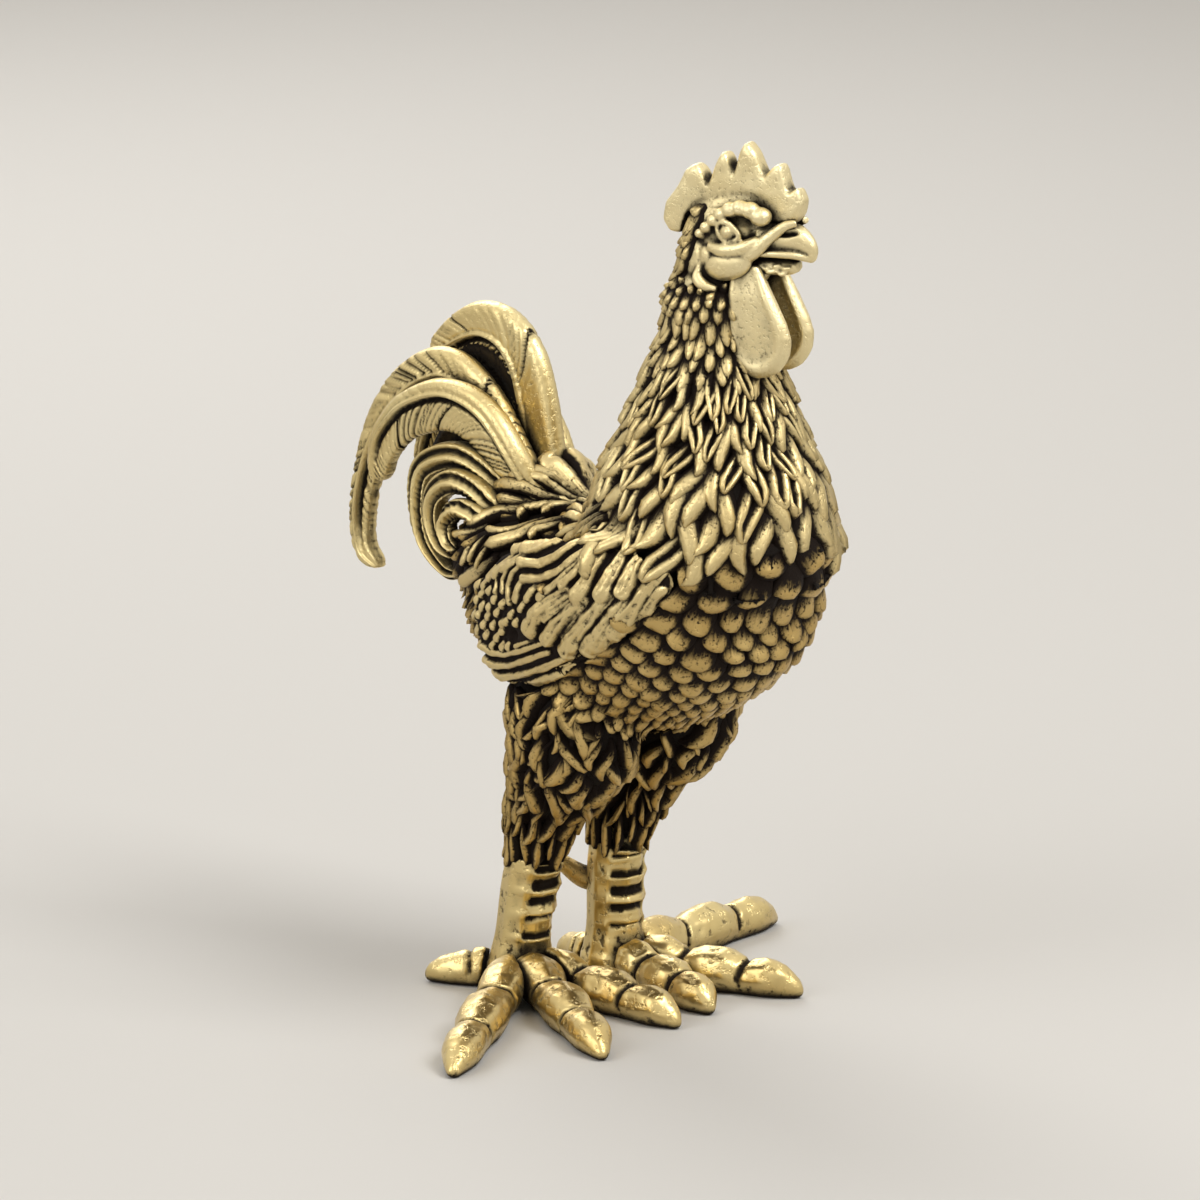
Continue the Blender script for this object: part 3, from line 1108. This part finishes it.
SICKLES = {
    "top_sickle": (((-1.3, -3.2), (-0.4, -1.4), (0.9, 1.3), (1.6, 3.8), (2.5, 6.1), (4, 7.5), (6, 7.8),
                    (7.9, 7.1), (10.3, 5.5)),
                   LEFT, 0.3, 0.4, 1.75, -0.34, (0.58, 0.5, 0.16), ((0.86, -1), (0.78, 1), (0.46, 1))),
    "long_sickle": (((-0.6, -2.6), (0.4, -1.3), (1.9, 0.8), (4, 3.2), (6.6, 4.7), (9, 4.2), (11.4, 2.4),
                     (13.2, 0), (14.4, -3.4), (14.4, -6.4), (13, -7.6)),
                    RIGHT, 1, 0.3, 1.85, 0.1, (0.6, 0.14, 0.42), ((0.24, 1), (0.5, -1))),
    "right_sickle": (((-1.9, -2.0), (-0.4, -0.4), (1, 1.4), (3, 3.1), (5.6, 3.6), (8.4, 2.7), (10, 1.4),
                      (10.9, 0), (11.2, -1.8)),
                     RIGHT, 2.2, 0.7, 1.65, 0.42, (0.52, 0.2, 0.08), ((0.46, -1), (0.72, -1))),
    "left_sickle": (((-1.2, -2.2), (-0.2, -0.8), (1.6, 1.6), (4, 3.4), (6.8, 4), (9.6, 3), (11.6, 0.8),
                     (12.6, -1.8), (12.4, -4)),
                    LEFT, 1.4, 0.8, 1.6, 0.3, (0.56, 0.3, 0.2), ((0.4, -1), (0.6, -1))),
}
COVERTS = {
    "upper": (((-0.5, -2.2), (0.3, -1.5), (2.2, 0.2), (4.6, 0.8), (7, -0.3), (7.3, -2.5), (6.5, -4.6),
               (4.7, -5.9), (3.4, -6)), 2.2, 1.3, 0.85, 0.95),
    "middle": (((-0.4, -2.9), (0.3, -2.4), (2, -0.9), (3.9, -0.5), (5.3, -1.4), (5.5, -2.8), (4.6, -4.3),
                (3.2, -4.8)), 3, 1, 0.78, 0.85),
    "lower": (((0.3, -3.2), (1.6, -2.1), (3, -1.9), (3.8, -2.8), (3.4, -3.8), (2.6, -4.2)), 3.7, 0.8, 0.65, 0.7),
}
for name, (points, side, start, lean, breadth, rib, combing, splits) in SICKLES.items():
    made = blade(name + "_vane", points, side, start, lean, breadth, 1.75, rib, combing, splits,
                 draw=0.34 if name == "long_sickle" else 0.0)
    kept(made, TAIL_BRASS, [name])
for name, (points, start, lean, breadth, strands) in COVERTS.items():
    for side, label in SIDES:
        made = blade(f"{name}_covert_vane_{label}", points, side, start, lean, breadth, 1.7, 0, (0.5, 0.2, 0.2), (), strands)
        kept(made, TAIL_BRASS, [f"{name}_covert_{label}"])


# Dark webs of metal that close the hollows between the sickles, down on the middle line.
WEBS = (
    (((0.4, -0.6), (2.0, 3.0), (3.9, 5.2), (6.2, 6.1), (8.2, 5.4)), 1.25),
    (((0.4, -1.4), (2.6, 1.0), (5.2, 1.9), (7.8, 1.3), (9.6, -0.4), (10.0, -2.6)), 1.2),
    (((0.6, -3.4), (2.6, -2.0), (4.4, -2.0), (5.2, -3.2), (4.4, -4.4)), 0.9),
)
webs = joined([blade("web", points, LEFT, 0.5, 0, breadth, 1.0, 0, (0.5, 0.1, 0.1), (), 0.7)
               for points, breadth in WEBS], "tail_webs")
kept(webs, GROUND_BRASS)


# Head: eyes, lids, brows, cheek folds and ear lobes built up on the skull, then cast as one skin.
def on_head(ahead, left, height):
    return tuple(head_at(ahead, left, height))


HEAD_SIDE = (-math.sin(HEAD_YAW), math.cos(HEAD_YAW), 0)
BROW = ((-0.83, 47.0, 0.3), (-0.4, 47.4, 0.36), (0.07, 47.85, 0.38), (0.55, 48.25, 0.42), (1.1, 48.55, 0.48),
        (1.7, 48.7, 0.5), (2.3, 48.62, 0.54), (2.95, 48.3, 0.6))


def head_parts():
    parts = [
        ball("skull", on_head(0.4, 0, 46.6), (2.4, 1.8, 1.8), HEAD_YAW),
        ball("crown", on_head(-0.2, 0, 47.3), (2.0, 1.25, 1.5), HEAD_YAW),
        ball("nape", on_head(-0.75, 0, 45.3), (1.95, 1.85, 2.2), HEAD_YAW),
        ball("nape_base", on_head(-1.05, 0, 43.8), (2.1, 1.95, 1.4), HEAD_YAW),
        ball("face", on_head(2.3, 0, 46.8), (1.7, 1.08, 1.35), HEAD_YAW),
        ball("throat", on_head(1.2, 0, 45.0), (1.6, 1.3, 1.2), HEAD_YAW),
    ]
    for side in (RIGHT, LEFT):
        parts += [
            ball("cheek", on_head(0.95, side * 1.5, 45.4), (1.6, 0.66, 0.95), HEAD_YAW, math.radians(14)),
            ball("cheek_front", on_head(1.7, side * 1.42, 45.85), (0.9, 0.5, 0.55), HEAD_YAW, math.radians(20)),
            ball("cheek_rear", on_head(-0.3, side * 1.5, 45.75), (0.6, 0.45, 0.7), HEAD_YAW),
            tube("under_eye", [on_head(-0.2, side * 1.62, 46.35), on_head(0.9, side * 1.72, 46.25),
                               on_head(2.0, side * 1.55, 46.45), on_head(2.9, side * 1.3, 46.95)],
                 [(0.32, 0.3), (0.5, 0.46), (0.5, 0.46), (0.32, 0.32)]),
            ball("eye", on_head(1.08, side * 1.66, 47.3), (0.5, 0.42, 0.48), HEAD_YAW),
            ball("pupil", on_head(1.16, side * 1.98, 47.34), (0.24, 0.18, 0.24), HEAD_YAW),
            tube("lore", [on_head(0.75, side * 1.5, 45.5), on_head(2.4, side * 1.4, 46.2),
                          on_head(3.4, side * 1.15, 47.1), on_head(4.25, side * 0.85, 47.8),
                          on_head(4.85, side * 0.5, 48.02)],
                 [(0.5, 0.62), (0.46, 0.5), (0.38, 0.4), (0.3, 0.3), (0.24, 0.22)]),
            tube("ear_lobe", [on_head(-0.8, side * 1.72, 45.1), on_head(-0.75, side * 1.9, 44.5),
                              on_head(-0.3, side * 1.92, 44.08), on_head(0.4, side * 1.8, 43.95)],
                 [(0.2, 0.16), (0.42, 0.34), (0.42, 0.34), (0.2, 0.18)]),
        ]
        lids = []
        for turn in np.linspace(0, 2 * math.pi, 17)[:-1]:
            lids.append(on_head(1.1 + 0.7 * math.cos(turn), side * (1.84 - 0.12 * abs(math.cos(turn))),
                                47.3 + 0.56 * math.sin(turn) * (1 - 0.4 * max(0.0, math.cos(turn)))
                                - 0.16 * math.cos(turn)))
        lids.append(lids[0])
        parts.append(tube("lids", lids, [(0.17, 0.17)] * 17))
        for ahead, height, radius in BROW:
            left = side * (1.62 - 0.12 * max(0.0, ahead) ** 1.1)
            parts.append(ball("brow", on_head(ahead, left, height), (radius * 1.1, radius * 1.05, radius * 0.92), HEAD_YAW))
    return parts


head = remeshed(joined(head_parts(), "head_rough"), "head_skin", 0.075, 3)
set_relief(head, 40, 4.2)
set_vector(head, "outward", normals_of(head))
HEAD_TREE = tree_in(head)


def nape_roots():
    roots = []
    for row in range(10):
        height = 48.4 - 0.53 * row
        for k in range(-8, 9):
            turn = HEAD_YAW + math.pi + math.radians(13.5) * (k + 0.5 * (row % 2))
            place, normal = landed(on_head(-0.4, 0, height), (math.cos(turn), math.sin(turn), 0), HEAD_TREE)
            ahead = (place - head_at(0, 0, place.z)).dot(Vector((math.cos(HEAD_YAW), math.sin(HEAD_YAW), 0)))
            if ahead > -0.95 - 0.12 * row:
                continue
            roots.append(root(place, normal, (-0.25, 0, -1), 1.9, 0.86, 0.9))
    return roots


kept(coat("nape_feathers", nape_roots(), LEAVES, 0.5, 0.2, 0.12, 51, head))
kept(head, SKIN_BRASS, ["head"])


def pressed(made, centre, halves, depth, tilt=0.0):
    """Presses an oval dint into a skin, on both sides of the head."""
    places = points_of(made)
    facings = normals_of(made)
    for side in (RIGHT, LEFT):
        middle = np.array(on_head(centre[0], side * centre[1], centre[2]))
        ahead = (places - middle) @ np.array((math.cos(HEAD_YAW), math.sin(HEAD_YAW), 0))
        left = (places - middle) @ np.array(HEAD_SIDE)
        above = places[:, 2] - middle[2]
        slanted = ahead * math.cos(tilt) + above * math.sin(tilt)
        square = above * math.cos(tilt) - ahead * math.sin(tilt)
        share = (slanted / halves[0]) ** 2 + (square / halves[2]) ** 2 + (left / halves[1]) ** 2
        places = places - facings * (depth * np.exp(-share ** 2))[:, None]
    move_points(made, places)


def beak_parts():
    upper = [
        tube("bill", [on_head(2.5, 0, 46.95), on_head(3.6, 0, 47.0), on_head(4.5, 0, 46.95),
                      on_head(5.3, 0, 46.6), on_head(5.75, 0, 46.1)],
             [(1.2, 1.0), (1.12, 0.98), (0.88, 0.92), (0.52, 0.66), (0.26, 0.3)], HEAD_SIDE),
        ball("bill_hook", on_head(5.5, 0, 46.15), (0.42, 0.34, 0.45), HEAD_YAW),
    ]
    for side in (RIGHT, LEFT):
        upper.append(tube("bill_edge", [on_head(2.7, side * 1.1, 46.15), on_head(3.8, side * 1.0, 46.2),
                                        on_head(4.8, side * 0.62, 46.15), on_head(5.5, side * 0.2, 45.95)],
                          [(0.24, 0.22), (0.24, 0.22), (0.22, 0.22), (0.16, 0.2)], HEAD_SIDE))
    return upper


upper_beak = remeshed(joined(beak_parts(), "beak_rough"), "upper_beak_skin", 0.08, 2)
pressed(upper_beak, (4.5, 0.85, 47.4), (0.5, 0.6, 0.16), 0.36, 0.12)
set_relief(upper_beak, 24, 3.2)
kept(upper_beak, SKIN_BRASS, ["upper_beak"])
lower_parts = [tube("jaw", [on_head(1.9, 0, 45.35), on_head(3.2, 0, 45.35), on_head(4.2, 0, 45.38),
                            on_head(4.75, 0, 45.42)],
                    [(1.05, 0.6), (1.0, 0.58), (0.74, 0.5), (0.34, 0.3)], HEAD_SIDE)]
for k in range(44):
    ahead = 2.6 + 1.9 * ((k * 0.618) % 1)
    side = RIGHT if k % 2 else LEFT
    out = side * (0.94 - 0.25 * max(0, ahead - 3.4))
    lower_parts.append(ball("grain", on_head(ahead, out, 45.0 + 0.5 * ((k * 0.37) % 1)), (0.15, 0.14, 0.13)))
lower_beak = remeshed(joined(lower_parts, "jaw_rough"), "lower_beak_skin", 0.08, 1)
set_relief(lower_beak, 24, 3.2)
kept(lower_beak, SKIN_BRASS, ["lower_beak"])


# Comb: the plate's edges rounded over, with a few cracks and a sand-cast grain.
COMB_NOTCHES = ((-0.95, 50.6, 0.65), (0.7, 51.1, 0.5), (2.7, 50.9, 0.25), (4.3, 50.6, 0.45))
comb_parts = [casting(["comb"], "comb_rough", 0.12, 8),
              tube("comb_base", [on_head(-2.2, 0, 48.1), on_head(-0.6, 0, 48.35), on_head(1.2, 0, 48.8),
                                 on_head(3.0, 0, 49.0)],
                   [(0.5, 0.5), (0.85, 0.75), (0.85, 0.75), (0.6, 0.5)], HEAD_SIDE)]
comb = remeshed(joined(comb_parts, "comb_rough"), "comb_skin", 0.1, 6)
places, facings = points_of(comb), normals_of(comb)
ahead = ((places - np.array(on_head(0, 0, 0))) * np.array((math.cos(HEAD_YAW), math.sin(HEAD_YAW), 0))).sum(axis=1)
for notch, edge, depth in COMB_NOTCHES:
    places[:, 2] -= depth * bell(ahead, notch, 0.4) * smoothstep(edge - 1.6, edge - 0.2, places[:, 2])
lumps = np.array([noise.fractal(Vector(place) * 0.7, 1.0, 2.0, 2) for place in places])
move_points(comb, places + facings * (0.05 * lumps)[:, None])
set_relief(comb, 26, 1.5)
kept(comb, SKIN_BRASS, ["comb"])


# Wattles: pear-shaped flaps with a rolled rim round a dished face.
def wattle(side, label):
    rings, around = 60, 40
    vertices = []
    rises = []
    for i in range(rings):
        share = i / (rings - 1)
        drop = 6.45 * share - 0.5
        ahead = 6 * float(np.interp(share, (0, 0.25, 0.5, 0.75, 1), (0.33, 0.39, 0.465, 0.49, 0.475)))
        half = 2.1 * float(np.interp(share, (0, 0.1, 0.25, 0.45, 0.62, 0.8, 0.92, 0.98, 1),
                                     (0.4, 0.52, 0.68, 0.86, 1.0, 0.95, 0.68, 0.36, 0.05)))
        for k in range(around):
            angle = 2 * math.pi * k / around
            t = math.sin(angle)
            radius = math.hypot(t * half / 2.1, max(0.0, share - 0.6) / 0.42) if share > 0.6 else abs(t)
            rim = math.exp(-((radius - 0.8) / 0.16) ** 2)
            edge = math.sqrt(max(0.0, 1 - min(1.0, radius) ** 5))
            thick = 0.6 * edge * (0.72 + 0.34 * rim) * (0.55 + 0.45 * min(1.0, share / 0.3))
            sign = 1 if math.cos(angle) >= 0 else -1
            place = head_at(ahead + t * half, side * (1.25 - 0.3 * max(0, 0.25 - share)) + sign * thick,
                            HEAD_Z - 1.6 - drop)
            vertices.append(tuple(place))
            rises.append(0.72 + 0.3 * rim)
    made = mesh_object("wattle_rough_" + label, vertices, ring_faces(rings, around))
    made = remeshed(outward(made), "wattle_skin_" + label, 0.1, 3)
    set_relief(made, 30, 2.0)
    kept(made, SKIN_BRASS, ["wattle_" + label])


for side, label in SIDES:
    wattle(side, label)


# Shanks: smooth behind, with a ladder of deep slots between the scutes in front.
for side, label in SIDES:
    shank = casting(["shank_" + label], "shank_skin_" + label, 0.12, 8)
    places, facings = points_of(shank), normals_of(shank)
    middle = side * 1.1 + SHANK_LEAN[side] * smoothstep(1.6, 9.0, places[:, 2])
    places[:, 2] -= 0.9 * np.maximum(0.0, places[:, 2] - 9.9)
    turns = np.arctan2(places[:, 1] - side * 2.7, places[:, 0] - middle)
    front = smoothstep(1.0, 0.8, np.abs(turns + side * 0.1))
    ladder = (places[:, 2] - 3.0) / 1.06
    slot = bell(ladder - np.floor(ladder), 0.5, 0.2) * smoothstep(2.9, 3.1, places[:, 2]) * smoothstep(9.4, 9.2, places[:, 2])
    bulge = 0.12 * front * np.cos(2 * math.pi * ladder + math.pi) * smoothstep(2.9, 3.4, places[:, 2])
    depth = 0.5 * front * slot
    move_points(shank, places - facings * (depth - bulge * 0.5)[:, None])
    set_relief(shank, 30, 2.4)
    kept(shank, FOOT_BRASS, ["shank_" + label])
    low, high = node_box("spur_" + label)
    inside = (side * 1.1 + 0.7 * SHANK_LEAN[side], side * 2.7, 6.0)
    tip = (low.x + 0.4, low.y + 0.4 if side > 0 else high.y - 0.4, high.z - 0.4)
    tip = tuple(0.08 * a + 0.92 * b for a, b in zip(inside, tip))
    bend = (0.45 * inside[0] + 0.55 * tip[0], 0.45 * inside[1] + 0.55 * tip[1], 6.0)
    spur = remeshed(joined([tube("spur", [inside, bend, tip], [(0.75, 0.75), (0.72, 0.7), (0.5, 0.45)]),
                            ball("knob", tip, (0.5, 0.5, 0.46))], "spur_rough"), "spur_skin_" + label, 0.1, 3)
    set_relief(spur, 20, 2.0)
    kept(spur, BREAST_BRASS, ["spur_" + label])


# Toes: plump knuckles parted by creases, with a slot at the root of each blunt claw.
TOES = {
    "right": {"middle": (26, 16.4), "inner": (-2, 12.9), "outer": (54, 19.6), "back": (146, 5.6)},
    "left": {"middle": (24, 11.8), "inner": (-9, 10.0), "outer": (98, 15.2), "back": (170, 5.6)},
}
for side, label in SIDES:
    for name, (outward_turn, reach) in TOES[label].items():
        toe = sunk(casting([f"{name}_toe_{label}"], f"{name}_toe_skin_{label}", 0.12, 30), -0.07)
        places, facings = points_of(toe), normals_of(toe)
        turn = math.radians(outward_turn) * side
        ahead = ((places[:, 0] - side * 1.1) * math.cos(turn) + (places[:, 1] - side * 2.7) * math.sin(turn)) / reach
        across = (places[:, 1] - side * 2.7) * math.cos(turn) - (places[:, 0] - side * 1.1) * math.sin(turn)
        upper = smoothstep(0.3, 1.0, places[:, 2])
        bow = 0.02 * across ** 2
        crease = np.zeros(len(places))
        marks = ((0.55, 0.24),) if name == "back" else ((0.4, 0.26), (0.72, 0.24))
        for share, depth in marks:
            crease += depth * bell((ahead + bow - share) * reach, 0, 0.17)
        wrinkle = np.array([noise.fractal(Vector(place) * 0.8, 1.0, 2.0, 3) for place in places])
        move_points(toe, places + facings * (upper * (0.06 * wrinkle - crease))[:, None])
        set_relief(toe, 30, 2.4)
        kept(toe, FOOT_BRASS, [f"{name}_toe_{label}"])


# Camera, floor and light
turn, rise = math.radians(VIEW_TURN), math.radians(VIEW_RISE)
to_right = Vector((math.cos(turn), math.sin(turn), 0))
to_camera = Vector((math.sin(turn) * math.cos(rise), -math.cos(turn) * math.cos(rise), math.sin(rise)))
to_top = to_camera.cross(to_right)
aim = to_right * AIM_RIGHT + to_top * AIM_UP
lens = bpy.data.cameras.new("camera")
lens.sensor_width = SENSOR
lens.lens = SENSOR * VIEW_DISTANCE / VIEW_WIDTH
lens.clip_start = 0.01
lens.clip_end = 100
camera = bpy.data.objects.new("camera", lens)
camera.location = INTO_FRAME @ (aim + to_camera * VIEW_DISTANCE)
camera.rotation_mode = "QUATERNION"
camera.rotation_quaternion = to_camera.to_track_quat("Z", "Y")
bpy.context.scene.collection.objects.link(camera)
bpy.context.scene.camera = camera


def lamp(name, direction, distance, width, power):
    """A soft square lamp that faces the middle of the figure."""
    data = bpy.data.lights.new(name, "AREA")
    data.shape = "SQUARE"
    data.size = width * MM
    data.energy = power
    made = bpy.data.objects.new(name, data)
    target = Vector((0, 0, 26)) * MM
    heading = Vector(direction).normalized()
    made.location = target + heading * distance * MM
    made.rotation_mode = "QUATERNION"
    made.rotation_quaternion = heading.to_track_quat("Z", "Y")
    bpy.context.scene.collection.objects.link(made)
    return made


lamp("key", to_camera * 0.7 + to_right * 0.7 + to_top * 0.9, 320, 160, 0.55)
lamp("fill", to_camera * 0.8 - to_right * 0.9 + to_top * 0.5, 360, 240, 0.35)
lamp("back", to_top * 1.0 - to_camera * 0.8 - to_right * 0.3, 320, 200, 0.4)

# A plain pale studio. The metal sees it brighter overhead than at the sides.
world = bpy.data.worlds.new("studio")
world.use_nodes = True
studio = world.node_tree
studio.nodes.clear()
ray = add(studio, "ShaderNodeLightPath")
heading = add(studio, "ShaderNodeTexCoord").outputs["Generated"]
upward = add(studio, "ShaderNodeSeparateXYZ", links={"Vector": heading}).outputs["Z"]
height = add(studio, "ShaderNodeMapRange", {"interpolation_type": "SMOOTHSTEP"}, {"Value": upward},
             {"From Min": -0.1, "From Max": 0.75})
mirrored = add(studio, "ShaderNodeMix", {"data_type": "RGBA"}, {"Factor": height.outputs["Result"]},
               {"A": linear("#E2DED6"), "B": linear("#FFFDF8")})
shining = add(studio, "ShaderNodeMath", {"operation": "MAXIMUM"},
              {0: ray.outputs["Is Glossy Ray"], 1: ray.outputs["Is Transmission Ray"]})
plain = add(studio, "ShaderNodeMix", {"data_type": "RGBA"}, {"Factor": ray.outputs["Is Camera Ray"]},
            {"A": linear("#A39F98"), "B": linear("#DCD9D4")})
seen = add(studio, "ShaderNodeMix", {"data_type": "RGBA"},
           {"Factor": shining.outputs[0], "A": plain.outputs["Result"], "B": mirrored.outputs["Result"]})
sky = add(studio, "ShaderNodeBackground", links={"Color": seen.outputs["Result"]})
add(studio, "ShaderNodeOutputWorld", links={"Surface": sky.outputs["Background"]})
bpy.context.scene.world = world

floor_half = 600.0
floor = mesh_object("floor", [(-floor_half, -floor_half, 0), (floor_half, -floor_half, 0),
                              (floor_half, floor_half, 0), (-floor_half, floor_half, 0)], [(0, 1, 2, 3)])
floor.data.transform(INTO_FRAME)
paper = bpy.data.materials.new("matt_paper")
paper.use_nodes = True
paper.node_tree.nodes["Principled BSDF"].inputs["Base Color"].default_value = linear("#D8D5D0")
paper.node_tree.nodes["Principled BSDF"].inputs["Roughness"].default_value = 0.9
floor.data.materials.append(paper)

bpy.context.scene.view_settings.view_transform = "Standard"
